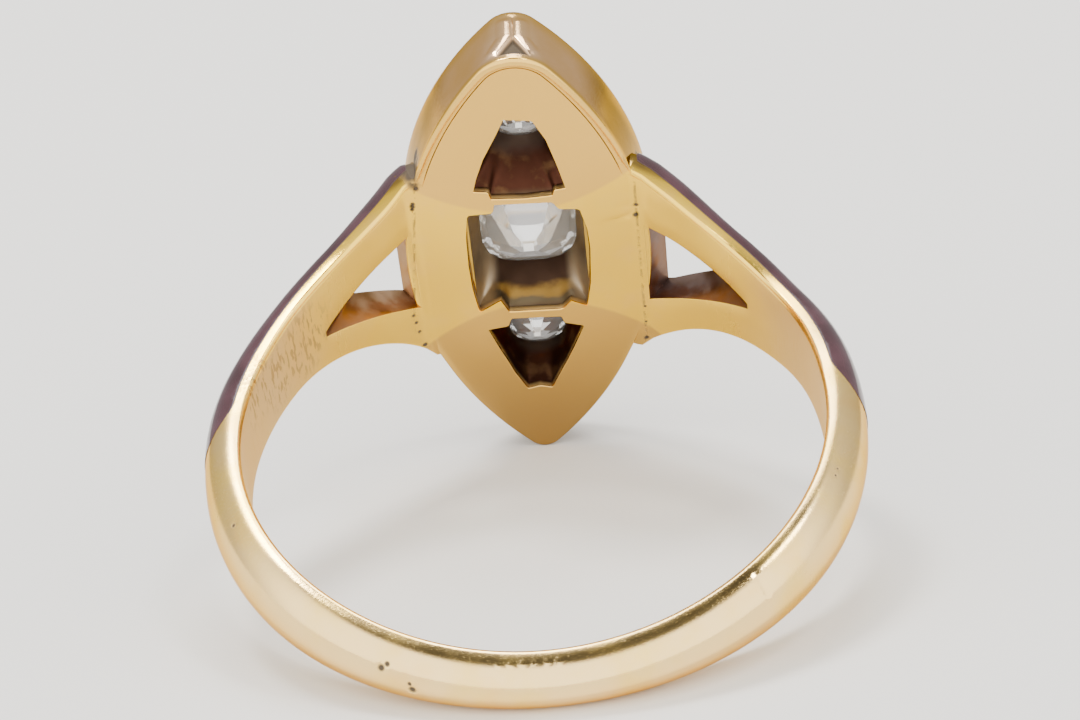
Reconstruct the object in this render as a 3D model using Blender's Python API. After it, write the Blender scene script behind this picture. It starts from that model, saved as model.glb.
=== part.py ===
"""Mourning ring: a gold finger ring with a pointed-oval head, split shoulders, enamel and three stones.

Modelled in the ring's own frame, where X is the width, +Y runs from the palm side to the head and
+Z is the finger's axis. An empty then lays the whole ring down on its side, on its two low points.
"""

from math import asin, atan2, ceil, cos, hypot, pi, radians, sin, sqrt, tan

import bmesh
import bpy
from mathutils import Vector

MM = 0.001

# Band, as a half-round section swept round the finger hole
HOLE_RADIUS = 8.5 * MM
BAND_THICKNESS = 1.2 * MM
BAND_SIDE = 0.18 * MM            # upright side of the section at the palm
PALM_HALF_WIDTH = 0.82 * MM      # half the band's width at the palm, its narrowest place
CHEEK_HALF_WIDTH = 1.3 * MM      # half the band's width at the finger's sides
CHEEK_ANGLE = radians(71.0)      # where it is reached, as an angle from the palm

# Shoulders, which flare out to the head
SHOULDER_HALF_WIDTH = 3.7 * MM   # half the width where they reach the head
FLARE_POWER = 10
SHOULDER_THICKNESS = 0.98 * MM
SHOULDER_FILLET = 0.36 * MM      # thickness gained towards the head
SHOULDER_SIDE = 0.36 * MM        # upright side of the section
SIDE_START = radians(50.0)       # the upright side grows between these angles
SIDE_END = radians(100.0)
WINDOW_SIDE = 0.8                # height of each arm's dome at the window, as a share of the dome
SHOULDER_STEP = 0.1 * MM         # their inner faces stand in from the flat back by this
SHOULDER_DROP = 0.16 * MM        # their middle sits below the band's middle
SHOULDER_TURN = radians(2.3)     # they sit askew, the left one higher
SHOULDER_START = radians(95.0)
DROP_ANGLE = radians(130.0)      # where their middle has dropped
SHOULDER_WAIST = radians(138.0)  # their thinnest place
SHOULDER_ANGLE = radians(158.0)
SHOULDER_END = radians(168.0)    # the arms' ends, buried in the head
SECTION_STEP = radians(3.5)
ARM_POINTS = 7                   # steps across each arm of the section
EDGE_CROWDING = 1.6              # power that crowds those steps at the arm's outer edge

# Window that splits each shoulder into two arms, a hole that is shorter on the outside
WINDOW_APEX = radians(132.0)     # angle from the palm, on the inner face
WINDOW_LEAN = radians(11.4)      # the apex is nearer the head on the outer face by this
WINDOW_FOOT_INSET = 0.25 * MM    # its foot starts inside the head's side by this, on the inner face
WINDOW_FOOT_REACH = 0.5 * MM     # and stands off it by this on the outer face
WINDOW_OVERSHOOT = 0.35          # the cutter passes each face by this share of the metal
WINDOW_HALF_HEIGHT = 1.54 * MM   # at the head
WINDOW_CORNER = 0.1 * MM         # half the width of the blunt apex
WINDOW_STEPS = 8
APEX_DROP = 0.4 * MM             # apex below the band's middle
APEX_SKEW = 0.09 * MM            # the left apex lies higher and the right one lower
FOOT_DROP = 0.21 * MM
FOOT_SKEW = 0.2 * MM
SPLIT_START = radians(121.0)     # a valley leads to the window
SPLIT_END = radians(137.0)

# Head, a box with pointed-oval outlines that hang lower than they rise
HEAD_TURN = radians(1.0)         # it sits a little askew on the band
HEAD_RISE = 0.19 * MM            # its widest place above the band's middle
BACK_WIDTH = 7.6 * MM
BACK_UPPER_LENGTH = 7.78 * MM    # from the widest place to the upper tip
BACK_LOWER_LENGTH = 8.38 * MM
BACK_UPPER_TIP = 1.45 * MM       # tip radius
BACK_LOWER_TIP = 0.6 * MM
FRONT_WIDTH = 7.8 * MM
FRONT_UPPER_LENGTH = 7.64 * MM
FRONT_LOWER_LENGTH = 8.24 * MM
FRONT_UPPER_TIP = 1.0 * MM
FRONT_LOWER_TIP = 0.6 * MM
LEAST_TIP = 0.05 * MM            # tip radius left inside the rim
BACK_BITE = 0.4 * MM             # the flat back stands inside the finger hole's circle by this
HEAD_DEPTH = 2.6 * MM
BACK_CHAMFER = 0.1 * MM
FRONT_CHAMFER = 0.1 * MM
FRONT_RIM = 0.42 * MM            # gold left round the front enamel

# Enamel
ENAMEL_DEPTH = 0.3 * MM
ENAMEL_MARGIN = 0.14 * MM        # gold left beside the enamel
ENAMEL_TIP = radians(96.0)       # where the inlay ends in a point on the band
ENAMEL_SPREAD = radians(105.0)   # where it reaches its full width
ENAMEL_END = radians(161.0)      # inside the head, which trims it
ENAMEL_POINT = 0.03              # half height of the point, as a share of the full one
CLEARANCE = 0.04 * MM            # between pieces that touch

# Stones, half sizes seen from the front
CENTRE_STONE = 1.62 * MM
END_STONE = 1.02 * MM
END_STONE_PITCH = 4.38 * MM      # from the centre stone to each end stone
CENTRE_SQUARENESS = 2.9          # power of the outline's oval: 2 is round, more is a cushion
END_SQUARENESS = 2.2
CENTRE_GIRDLE = 1.7 * MM         # girdle above the flat back
END_GIRDLE = 1.92 * MM
GIRDLE_THICKNESS = 0.08 * MM
CROWN_SLOPE = radians(39.0)
PAVILION_SLOPE = radians(40.0)
STAR_SLOPE = radians(26.0)
BREAK_STEP = radians(3.0)        # facets between the main ones are steeper by this
FACETS = 8                       # in each ring
TABLE_SHARE = 0.48               # table's half size as a share of the stone's
CULET_SHARE = 0.1
COLLET_WALL = 0.34 * MM
COLLET_RISE = 0.1 * MM           # collets above the front rim
LEDGE = 0.1 * MM                 # shelf under the girdle
LIP = 0.08 * MM                  # metal pressed over the crown's edge
COLLET_FLARE = 0.14 * MM         # the wall opens outwards above the lip
OUTLINE_POINTS = 40              # round each seat and collet
BLANK_POINTS = 32                # round each stone before it is cut
OUTLINE_STEP = 0.02              # angle over which an outline's direction is taken
SIDE_POINTS = 8                  # along a quarter of the head's outline
TIP_POINTS = 6                   # round each tip of it

# Openings in the back plate
MIDDLE_OPENING_HALF_WIDTH = 1.88 * MM
MIDDLE_OPENING_HALF_HEIGHT = 2.24 * MM
END_OPENING_HALF_WIDTH = 1.5 * MM
END_OPENING_HEIGHT = 3.12 * MM
BAR_THICKNESS = 0.24 * MM        # thinnest part of the bars between the openings
OPENING_POINT_STEP = 0.45 * MM

# Half outlines from the top middle to the bottom middle, as shares of the half width and half height
MIDDLE_OUTLINE = (
    # across, up
    (0.00, 1.00),
    (0.48, 1.00),
    (0.56, 0.85),
    (0.91, 0.83),
    (1.00, 0.30),
    (1.00, -0.20),
    (0.91, -0.97),
    (0.60, -0.82),
    (0.46, -1.00),
    (0.00, -1.00),
)

# The end openings, from the blunt outer end to the edge beside the bar, as shares of the half
# width and the whole height, which is counted from the bar
END_OUTLINE = (
    # across, away from the bar
    (0.00, 0.96),
    (0.27, 1.00),
    (0.60, 0.72),
    (0.84, 0.40),
    (1.00, 0.11),
    (0.72, 0.09),
    (0.64, 0.00),
    (0.00, 0.00),
)

FINISHES = {
    # colour, roughness, metallic, transmission
    "gold": ((0.78, 0.6, 0.34), 0.28, 1.0, 0.0),
    "plum_enamel": ((0.1, 0.05, 0.06), 0.18, 0.0, 0.0),
    "diamond": ((0.9, 0.9, 0.88), 0.03, 0.0, 0.9),
}

BACK_PLANE = HOLE_RADIUS - BACK_BITE
FRONT_PLANE = BACK_PLANE + HEAD_DEPTH
HEAD_SIDE = (BACK_WIDTH + FRONT_WIDTH) / 4.0
SHOULDER_RADIUS = hypot(BACK_PLANE - SHOULDER_STEP, BACK_WIDTH / 2.0)
INNER_FOOT = pi - asin((HEAD_SIDE - WINDOW_FOOT_INSET) / SHOULDER_RADIUS)
OUTER_FOOT = pi - asin((HEAD_SIDE + WINDOW_FOOT_REACH)
                       / (SHOULDER_RADIUS + SHOULDER_THICKNESS + SHOULDER_FILLET))
BACK = (BACK_WIDTH, (BACK_UPPER_LENGTH, BACK_UPPER_TIP), (BACK_LOWER_LENGTH, BACK_LOWER_TIP))
FRONT = (FRONT_WIDTH, (FRONT_UPPER_LENGTH, FRONT_UPPER_TIP), (FRONT_LOWER_LENGTH, FRONT_LOWER_TIP))


def ease(share):
    """Goes smoothly from 0 to 1 while share does."""
    share = min(max(share, 0.0), 1.0)
    return share * share * (3.0 - 2.0 * share)


# Solids from closed loops of points


def add_object(name, bm, parent):
    bmesh.ops.recalc_face_normals(bm, faces=bm.faces)
    bmesh.ops.triangulate(bm, faces=bm.faces)
    mesh = bpy.data.meshes.new(name)
    bm.to_mesh(mesh)
    bm.free()
    obj = bpy.data.objects.new(name, mesh)
    bpy.context.scene.collection.objects.link(obj)
    obj.parent = parent
    return obj


def loft(name, parent, loops):
    """A closed solid through loops that all have the same number of points."""
    bm = bmesh.new()
    rings = [[bm.verts.new(point) for point in loop] for loop in loops]
    for lower, upper in zip(rings, rings[1:]):
        for i in range(len(lower)):
            j = (i + 1) % len(lower)
            bm.faces.new((lower[i], lower[j], upper[j], upper[i]))
    bm.faces.new(rings[0])
    bm.faces.new(rings[-1])
    return add_object(name, bm, parent)


def carve(target, tool, operation="DIFFERENCE"):
    modifier = target.modifiers.new(tool.name, "BOOLEAN")
    modifier.operation = operation
    modifier.solver = "EXACT"
    modifier.object = tool
    tool.hide_render = True
    tool.display_type = "WIRE"


def paint(obj, name):
    """Gives the solid its material: colour, roughness, metallic share and transmitted share."""
    colour, roughness, metallic, transmission = FINISHES[name]
    material = bpy.data.materials.get(name)
    if material is None:
        material = bpy.data.materials.new(name)
        material.use_nodes = True
        shader = material.node_tree.nodes["Principled BSDF"]
        shader.inputs["Base Color"].default_value = (*colour, 1.0)
        shader.inputs["Roughness"].default_value = roughness
        shader.inputs["Metallic"].default_value = metallic
        shader.inputs["Transmission Weight"].default_value = transmission
    obj.data.materials.clear()
    obj.data.materials.append(material)


# Outlines


def navette_half(width, length, tip_radius, inset):
    """Half of a pointed oval, from its right side over its rounded tip to its left."""
    core_length = length - tip_radius
    core_width = width / 2.0 - tip_radius
    bend = (core_length**2 + core_width**2) / (2.0 * core_width)
    centre = bend - core_width
    sweep = asin(core_length / bend)
    side_radius = bend + tip_radius - inset
    end_radius = max(tip_radius - inset, LEAST_TIP)
    side = [sweep * i / SIDE_POINTS for i in range(SIDE_POINTS + 1)]
    tip = [sweep + (pi - 2.0 * sweep) * i / TIP_POINTS for i in range(1, TIP_POINTS)]
    right = [(side_radius * cos(a) - centre, side_radius * sin(a)) for a in side]
    cap = [(end_radius * cos(a), core_length + end_radius * sin(a)) for a in tip]
    left = [(-x, z) for x, z in reversed(right)]
    return right + cap + left


def navette_loop(width, upper, lower, depth, inset=0.0):
    """A pointed oval in the plane Y = depth, made smaller all round by inset."""
    above = navette_half(width, *upper, inset)
    below = [(-x, -z) for x, z in navette_half(width, *lower, inset)]
    return [Vector((x, depth, z)) for x, z in above[:-1] + below[:-1]]


def cushion_loop(half_size, squareness, depth, rise, angles):
    """A rounded square, between a circle and a box, at the given angles round its middle."""
    points = []
    for angle in angles:
        across = abs(cos(angle)) ** squareness
        up = abs(sin(angle)) ** squareness
        reach = half_size / (across + up) ** (1.0 / squareness)
        points.append(Vector((reach * cos(angle), depth, reach * sin(angle) + rise)))
    return points


def even_angles(count):
    """Angles round an outline, with none on its axes."""
    return [2.0 * pi * (i + 0.5) / count for i in range(count)]


def subdivided(points, step):
    """The closed outline with extra points along its longer edges."""
    dense = []
    for here, there in zip(points, points[1:] + points[:1]):
        parts = max(1, ceil((there - here).length / step))
        dense += [here.lerp(there, i / parts) for i in range(parts)]
    return dense


def mirrored_outline(half):
    """A whole closed outline from its right half, top middle first and bottom middle last."""
    left = [Vector((-p.x, p.y)) for p in reversed(half[1:-1])]
    return half + left


# Band and shoulders


def half_width(angle):
    """Half the band's width at an angle from the palm: slim, then flaring out to the head."""
    turn = min(abs(angle) / SHOULDER_ANGLE, 1.0)
    fullness = (CHEEK_HALF_WIDTH - PALM_HALF_WIDTH) * ease(abs(angle) / CHEEK_ANGLE)
    flare = (SHOULDER_HALF_WIDTH - CHEEK_HALF_WIDTH) * turn**FLARE_POWER
    return PALM_HALF_WIDTH + fullness + flare


def shoulder_share(angle):
    """0 on the band and 1 where the shoulder reaches the head."""
    return ease((abs(angle) - SHOULDER_START) / (SHOULDER_ANGLE - SHOULDER_START))


def middle(angle):
    """Height of the band's middle, which drops on the shoulders and turns with the head."""
    askew = HOLE_RADIUS * sin(angle) * tan(SHOULDER_TURN)
    share = ease((abs(angle) - SHOULDER_START) / (DROP_ANGLE - SHOULDER_START))
    return -(SHOULDER_DROP + askew) * share


def inner_radius(angle):
    """The finger hole is round, then opens a little so that the shoulders meet the flat back."""
    return HOLE_RADIUS + (SHOULDER_RADIUS - HOLE_RADIUS) * shoulder_share(angle)


def side_height(angle):
    share = ease((abs(angle) - SIDE_START) / (SIDE_END - SIDE_START))
    return BAND_SIDE + (SHOULDER_SIDE - BAND_SIDE) * share


def thickness(angle):
    waist = ease((abs(angle) - SHOULDER_START) / (SHOULDER_WAIST - SHOULDER_START))
    fillet = ease((abs(angle) - SHOULDER_WAIST) / (SHOULDER_ANGLE - SHOULDER_WAIST))
    slim = BAND_THICKNESS + (SHOULDER_THICKNESS - BAND_THICKNESS) * waist
    return slim + SHOULDER_FILLET * fillet


def window_half_height(angle):
    """Half the window's height at an angle from the palm, halfway through the metal."""
    apex = WINDOW_APEX + WINDOW_LEAN / 2.0
    share = min(max((abs(angle) - apex) / (OUTER_FOOT - apex), 0.0), 1.0)
    return WINDOW_CORNER + (WINDOW_HALF_HEIGHT - WINDOW_CORNER) * share


def dome(angle, share):
    """Height of the dome at a share of the half width: one over the band, one over each arm."""
    one = sqrt(max(1.0 - share * share, 0.0))
    gap = window_half_height(angle) / half_width(angle)
    off = (abs(share) - (1.0 + gap) / 2.0) / ((1.0 - gap) / 2.0)
    if off < 0.0:
        two = 1.0 - (1.0 - WINDOW_SIDE) * off * off
    else:
        two = sqrt(max(1.0 - off * off, 0.0))
    split = ease((abs(angle) - SPLIT_START) / (SPLIT_END - SPLIT_START))
    return one + (two - one) * split


def outer_radius(angle, share):
    side = side_height(angle)
    return inner_radius(angle) + side + (thickness(angle) - side) * dome(angle, share)


def polar(radius, angle, height):
    """A point at a distance from the finger's axis, at an angle from the palm."""
    return Vector((radius * sin(angle), -radius * cos(angle), height + middle(angle)))


def section_shares(angle):
    """Places across the section, closest at its edges, as shares of the half width."""
    gap = window_half_height(angle) / half_width(angle)
    steps = [1.0 - (i / ARM_POINTS) ** EDGE_CROWDING for i in range(ARM_POINTS + 1)]
    upper = [gap + (1.0 - gap) * step for step in steps]
    return upper + [-share for share in reversed(upper)]


def band_section(angle):
    half = half_width(angle)
    section = [polar(inner_radius(angle), angle, -half), polar(inner_radius(angle), angle, half)]
    for share in section_shares(angle):
        section.append(polar(outer_radius(angle, share), angle, half * share))
    return section


def sweep_angles(start, end):
    count = ceil((end - start) / SECTION_STEP)
    return [start + (end - start) * i / count for i in range(count + 1)]


def window_section(side, share, margin):
    """The window's upright section at a share of the way from its apex to its foot."""
    inner_angle = WINDOW_APEX + (INNER_FOOT - WINDOW_APEX) * share
    outer_angle = WINDOW_APEX + WINDOW_LEAN + (OUTER_FOOT - WINDOW_APEX - WINDOW_LEAN) * share
    inner = polar(inner_radius(inner_angle), side * inner_angle, 0.0)
    outer = polar(inner_radius(outer_angle) + thickness(outer_angle), side * outer_angle, 0.0)
    through = (outer - inner) * WINDOW_OVERSHOOT
    drop = APEX_DROP + (FOOT_DROP - APEX_DROP) * share
    skew = APEX_SKEW + (FOOT_SKEW - APEX_SKEW) * share
    half = WINDOW_CORNER + (WINDOW_HALF_HEIGHT - WINDOW_CORNER) * share + margin
    lower = -(drop + side * skew) - half
    upper = lower + 2.0 * half
    near = inner - through
    far = outer + through
    return [Vector((near.x, near.y, lower)), Vector((near.x, near.y, upper)),
            Vector((far.x, far.y, upper)), Vector((far.x, far.y, lower))]


def window_cutter(name, side, margin=0.0):
    """The window's hole, bigger all round by margin."""
    extra = margin / (HOLE_RADIUS * (OUTER_FOOT - WINDOW_APEX))
    steps = [i / WINDOW_STEPS for i in range(WINDOW_STEPS + 1)]
    shares = [-extra + (1.0 + 2.0 * extra) * step for step in steps]
    return loft(name, ring, [window_section(side, share, margin) for share in shares])


def enamel_share(angle):
    """The inlay's half height as a share of the band's: a point, then along the band's edges."""
    full = 1.0 - ENAMEL_MARGIN / half_width(angle)
    spread = (angle - ENAMEL_TIP) / (ENAMEL_SPREAD - ENAMEL_TIP)
    return full * min(max(spread, ENAMEL_POINT), 1.0)


def enamel_blank(name, side, grow=0.0):
    """The inlay before its window and its end at the head are cut, made bigger all round by grow."""
    angles = sweep_angles(ENAMEL_TIP - 2.0 * grow / HOLE_RADIUS, ENAMEL_SPREAD)
    angles += sweep_angles(ENAMEL_SPREAD, ENAMEL_END)[1:]
    rows = []
    for angle in angles:
        half = half_width(angle)
        reach = enamel_share(angle) + grow / half
        shares = [reach * share for share in section_shares(angle)]
        top = [(share, 4.0 * grow) for share in shares]
        bottom = [(share, -ENAMEL_DEPTH - grow) for share in reversed(shares)]
        rows.append([polar(outer_radius(angle, share) + level, side * angle, half * share)
                     for share, level in top + bottom])
    return loft(name, ring, rows)


# Head


def head_body():
    return loft("gold_mount", head, [
        navette_loop(*BACK, BACK_PLANE, BACK_CHAMFER),
        navette_loop(*BACK, BACK_PLANE + BACK_CHAMFER),
        navette_loop(*FRONT, FRONT_PLANE - FRONT_CHAMFER),
        navette_loop(*FRONT, FRONT_PLANE, FRONT_CHAMFER),
    ])


def head_blank(name, grow):
    """The head made bigger all round, which trims the shoulder enamel back from it."""
    return loft(name, head, [
        navette_loop(*BACK, BACK_PLANE - grow, -grow),
        navette_loop(*FRONT, FRONT_PLANE + grow, -grow),
    ])


# Stones and their seats


class Stone:
    """Sizes and levels of one stone and of the metal that holds it."""

    def __init__(self, place, half_size, squareness, girdle, rise):
        self.place = place
        self.half = half_size
        self.squareness = squareness
        self.rise = rise
        self.girdle = BACK_PLANE + girdle
        self.girdle_top = self.girdle + GIRDLE_THICKNESS
        self.table = self.girdle_top + half_size * (1.0 - TABLE_SHARE) * tan(CROWN_SLOPE)
        self.culet = self.girdle - half_size * (1.0 - CULET_SHARE) * tan(PAVILION_SLOPE)
        self.ledge = self.girdle - LEDGE * tan(PAVILION_SLOPE) - CLEARANCE

    def loop(self, half_size, depth, angles=None):
        angles = angles or even_angles(OUTLINE_POINTS)
        return cushion_loop(half_size, self.squareness, depth, self.rise, angles)


def cut_facet(bm, point, normal):
    """Grinds one flat facet on the stone."""
    geometry = bm.verts[:] + bm.edges[:] + bm.faces[:]
    cut = bmesh.ops.bisect_plane(bm, geom=geometry, dist=0.0001 * MM, plane_co=point,
                                 plane_no=normal, clear_outer=True)
    edges = [item for item in cut["geom_cut"] if isinstance(item, bmesh.types.BMEdge)]
    if len(edges) > 2:
        bmesh.ops.contextual_create(bm, geom=edges)


def facet_ring(bm, stone, turn, reach, level, slope, upward):
    """Grinds a ring of equal facets, each passing through the outline at a share of the half size."""
    for i in range(FACETS):
        angle = 2.0 * pi * (i + turn) / FACETS
        edge, ahead, behind = (
            cushion_loop(stone.half * reach, stone.squareness, level, stone.rise, [at])[0]
            for at in (angle, angle + OUTLINE_STEP, angle - OUTLINE_STEP))
        run = (ahead - behind).normalized()
        outward = Vector((run.z, 0.0, -run.x))
        if outward.x * cos(angle) + outward.z * sin(angle) < 0.0:
            outward.negate()
        normal = outward * sin(slope) + Vector((0.0, cos(slope) * upward, 0.0))
        cut_facet(bm, edge, normal)


def cut_stone(stone):
    """An old-cut brilliant: a small table, a high crown, main, star and girdle facets and a culet."""
    bm = bmesh.new()
    around = even_angles(BLANK_POINTS)
    bottom = [bm.verts.new(point) for point in stone.loop(stone.half, stone.culet, around)]
    top = [bm.verts.new(point) for point in stone.loop(stone.half, stone.table, around)]
    for i in range(BLANK_POINTS):
        j = (i + 1) % BLANK_POINTS
        bm.faces.new((bottom[i], bottom[j], top[j], top[i]))
    bm.faces.new(bottom)
    bm.faces.new(top)
    bmesh.ops.recalc_face_normals(bm, faces=bm.faces)
    crown = (1.0, stone.girdle_top)
    pavilion = (1.0, stone.girdle)
    facet_ring(bm, stone, 0.0, *crown, CROWN_SLOPE, 1.0)
    facet_ring(bm, stone, 0.5, *crown, CROWN_SLOPE + BREAK_STEP, 1.0)
    facet_ring(bm, stone, 0.5, TABLE_SHARE, stone.table, STAR_SLOPE, 1.0)
    facet_ring(bm, stone, 0.0, *pavilion, PAVILION_SLOPE, -1.0)
    facet_ring(bm, stone, 0.5, *pavilion, PAVILION_SLOPE + BREAK_STEP, -1.0)
    name = "diamond_" + stone.place
    obj = add_object(name, bm, head)
    paint(obj, "diamond")


def collet(stone):
    """A raised ring of metal round the stone, standing on the floor of the front recess."""
    rim = FRONT_PLANE + COLLET_RISE
    outer = stone.half + COLLET_WALL
    return loft("collet_" + stone.place, head, [
        stone.loop(outer, stone.girdle),
        stone.loop(outer, rim - LIP),
        stone.loop(outer - LIP, rim),
    ])


def seat_cutter(stone):
    """The space for the stone: over the ledge, past the girdle and in under the pressed lip."""
    girdle_room = stone.half + CLEARANCE
    lip_level = stone.girdle_top + LIP * tan(CROWN_SLOPE) + CLEARANCE
    return loft("seat_" + stone.place, head, [
        stone.loop(girdle_room, stone.ledge),
        stone.loop(girdle_room, lip_level),
        stone.loop(stone.half - LIP, lip_level + LIP),
        stone.loop(stone.half - LIP + COLLET_FLARE, FRONT_PLANE + 2.0 * COLLET_RISE),
    ])


def opening_cutter(stone, outline):
    """A hole from the outline in the back plate, tapering to the ledge under the stone."""
    dense = subdivided(outline, OPENING_POINT_STEP)
    angles = [atan2(p.y - stone.rise, p.x) for p in dense]
    at_back = [Vector((p.x, BACK_PLANE, p.y)) for p in dense]
    below = [Vector((p.x, BACK_PLANE - HEAD_DEPTH, p.z)) for p in at_back]
    ledge = stone.loop(stone.half - LEDGE, stone.ledge, angles)
    above = [Vector((p.x, stone.ledge + CLEARANCE, p.z)) for p in ledge]
    return loft("opening_" + stone.place, head, [below, at_back, ledge, above])


def middle_opening_outline():
    half = [Vector((across * MIDDLE_OPENING_HALF_WIDTH, up * MIDDLE_OPENING_HALF_HEIGHT))
            for across, up in MIDDLE_OUTLINE]
    return mirrored_outline(half)


def end_opening_outline(direction):
    start = MIDDLE_OPENING_HALF_HEIGHT + BAR_THICKNESS
    half = [Vector((across * END_OPENING_HALF_WIDTH, direction * (start + away * END_OPENING_HEIGHT)))
            for across, away in END_OUTLINE]
    return mirrored_outline(half)


def front_recess_cutter():
    return loft("front_recess", head, [
        navette_loop(*FRONT, FRONT_PLANE - ENAMEL_DEPTH, FRONT_RIM),
        navette_loop(*FRONT, FRONT_PLANE + 2.0 * COLLET_RISE, FRONT_RIM),
    ])


def collet_clearance(stone):
    """Bites the plaque back from the collet."""
    outer = stone.half + COLLET_WALL + CLEARANCE
    return loft("collet_room_" + stone.place, head, [
        stone.loop(outer, stone.girdle),
        stone.loop(outer, FRONT_PLANE + 4.0 * COLLET_RISE),
    ])


# Laying the ring down


def resting_tilt(points):
    """The turn about X that brings the palm's and the head's low points to one level."""
    hull = []
    for point in sorted(points, key=lambda p: (p[0], p[1])):
        while len(hull) > 1:
            (ay, az), (by, bz) = hull[-2], hull[-1]
            if (by - ay) * (point[1] - az) > (bz - az) * (point[0] - ay):
                break
            hull.pop()
        hull.append(point)
    for (ay, az), (by, bz) in zip(hull, hull[1:]):
        if ay < 0.0 < by:
            return atan2(az - bz, by - ay)
    return 0.0


# Build

for old in list(bpy.data.objects):
    bpy.data.objects.remove(old, do_unlink=True)

ring = bpy.data.objects.new("ring", None)
head = bpy.data.objects.new("head", None)
head.parent = ring
head.location = (0.0, 0.0, HEAD_RISE)
head.rotation_euler = (0.0, HEAD_TURN, 0.0)
for empty in (ring, head):
    bpy.context.scene.collection.objects.link(empty)

centre_stone = Stone("centre", CENTRE_STONE, CENTRE_SQUARENESS, CENTRE_GIRDLE, 0.0)
upper_stone = Stone("upper", END_STONE, END_SQUARENESS, END_GIRDLE, END_STONE_PITCH)
lower_stone = Stone("lower", END_STONE, END_SQUARENESS, END_GIRDLE, -END_STONE_PITCH)
stones = (centre_stone, upper_stone, lower_stone)

gold = head_body()
sections = [band_section(angle) for angle in sweep_angles(-SHOULDER_END, SHOULDER_END)]
shank = loft("shank", ring, sections)

for label, side in (("left", -1.0), ("right", 1.0)):
    carve(shank, window_cutter("window_" + label, side))
    recess = enamel_blank("enamel_recess_" + label, side, CLEARANCE)
    carve(recess, window_cutter("recess_window_" + label, side, ENAMEL_MARGIN))
    carve(recess, head_blank("recess_head_" + label, ENAMEL_MARGIN))
    carve(shank, recess)
    enamel = enamel_blank("enamel_" + label, side)
    carve(enamel, window_cutter("enamel_window_" + label, side, ENAMEL_MARGIN + CLEARANCE))
    carve(enamel, head_blank("enamel_head_" + label, ENAMEL_MARGIN + CLEARANCE))
    paint(enamel, "plum_enamel")

carve(gold, shank, "UNION")
carve(gold, front_recess_cutter())
for stone in stones:
    carve(gold, collet(stone), "UNION")
carve(gold, opening_cutter(centre_stone, middle_opening_outline()))
carve(gold, opening_cutter(upper_stone, end_opening_outline(1.0)))
carve(gold, opening_cutter(lower_stone, end_opening_outline(-1.0)))
for stone in stones:
    carve(gold, seat_cutter(stone))
paint(gold, "gold")

plaque = loft("enamel_plaque", head, [
    navette_loop(*FRONT, FRONT_PLANE - ENAMEL_DEPTH + CLEARANCE, FRONT_RIM + CLEARANCE),
    navette_loop(*FRONT, FRONT_PLANE, FRONT_RIM + CLEARANCE),
])
for stone in stones:
    carve(plaque, collet_clearance(stone))
paint(plaque, "plum_enamel")

for stone in stones:
    cut_stone(stone)

bpy.context.view_layer.update()
profile = [piece.matrix_world @ v.co for piece in (gold, shank) for v in piece.data.vertices]
tilt = resting_tilt([(p.y, p.z) for p in profile])
reach = [p.y * cos(tilt) - p.z * sin(tilt) for p in profile]
lowest = min(p.y * sin(tilt) + p.z * cos(tilt) for p in profile)
ring.rotation_euler = (tilt, 0.0, 0.0)
ring.location = (0.0, -(min(reach) + max(reach)) / 2.0, -lowest)
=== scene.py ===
"""Mourning ring lying on its side on a pale floor, seen from behind its pointed-oval head."""

from math import asin, atan2, cos, degrees, hypot, pi, radians, sin, sqrt

import bmesh
import bpy
from mathutils import Matrix, Vector


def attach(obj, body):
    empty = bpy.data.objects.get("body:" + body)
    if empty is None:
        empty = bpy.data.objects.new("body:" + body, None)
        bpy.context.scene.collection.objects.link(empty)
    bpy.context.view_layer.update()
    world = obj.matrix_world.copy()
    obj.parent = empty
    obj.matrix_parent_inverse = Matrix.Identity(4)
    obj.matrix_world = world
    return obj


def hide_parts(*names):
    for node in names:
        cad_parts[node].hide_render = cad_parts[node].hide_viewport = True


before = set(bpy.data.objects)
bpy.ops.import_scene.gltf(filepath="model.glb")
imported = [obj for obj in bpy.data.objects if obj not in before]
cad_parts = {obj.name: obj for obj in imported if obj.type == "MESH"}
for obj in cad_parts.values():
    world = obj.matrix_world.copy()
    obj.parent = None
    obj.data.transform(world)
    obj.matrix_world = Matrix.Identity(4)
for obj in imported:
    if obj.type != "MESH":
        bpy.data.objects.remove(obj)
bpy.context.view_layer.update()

# Studio. The ring lies on a plain pale table in a soft white tent, bright in front and dimmer
# behind. The tent has a round opening at its top, which the upward faces of the gold mirror as
# a dark streak.

CAMERA_PLACE = (0.0039211, -0.0853447, 0.0378982)
CAMERA_TURN = (1.2144018, 0.0851358, 0.010998)
LENS, FILM_WIDTH, NEAREST = 102.371, 36.0, 0.001
LAMP_AIM = (0.0, 0.0, 0.008)
LAMPS = (("left_lamp", (-0.088, 0.068, 0.307), 0.078, 0.65),       # place, width and power
         ("right_lamp", (0.12, -0.023, 0.305), 0.05, 0.2),
         ("back_lamp", (0.015, 0.14, 0.30), 0.11, 0.4))
OPENING_X, OPENING_Y = 0.04, -0.03                                 # as a direction from the ring
OPENING_RIM = (0.26, 0.47)
OPENING_LIGHT, TENT_LIGHT = 0.04, 3.6
CLOTH_BANDS = ((0.0, 0.9), (0.3, 0.85), (0.5, 0.5), (0.7, 0.25), (1.0, 0.2))    # front to back
TABLE_HALF, TABLE_COLOUR, TABLE_ROUGHNESS = 0.6, (0.80, 0.78, 0.74, 1.0), 0.9

camera = bpy.data.objects.new("camera", bpy.data.cameras.new("camera"))
bpy.context.scene.collection.objects.link(camera)
camera.location = CAMERA_PLACE
camera.rotation_euler = CAMERA_TURN
camera.data.sensor_width = FILM_WIDTH
camera.data.lens = LENS
camera.data.clip_start = NEAREST
bpy.context.scene.camera = camera

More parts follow.
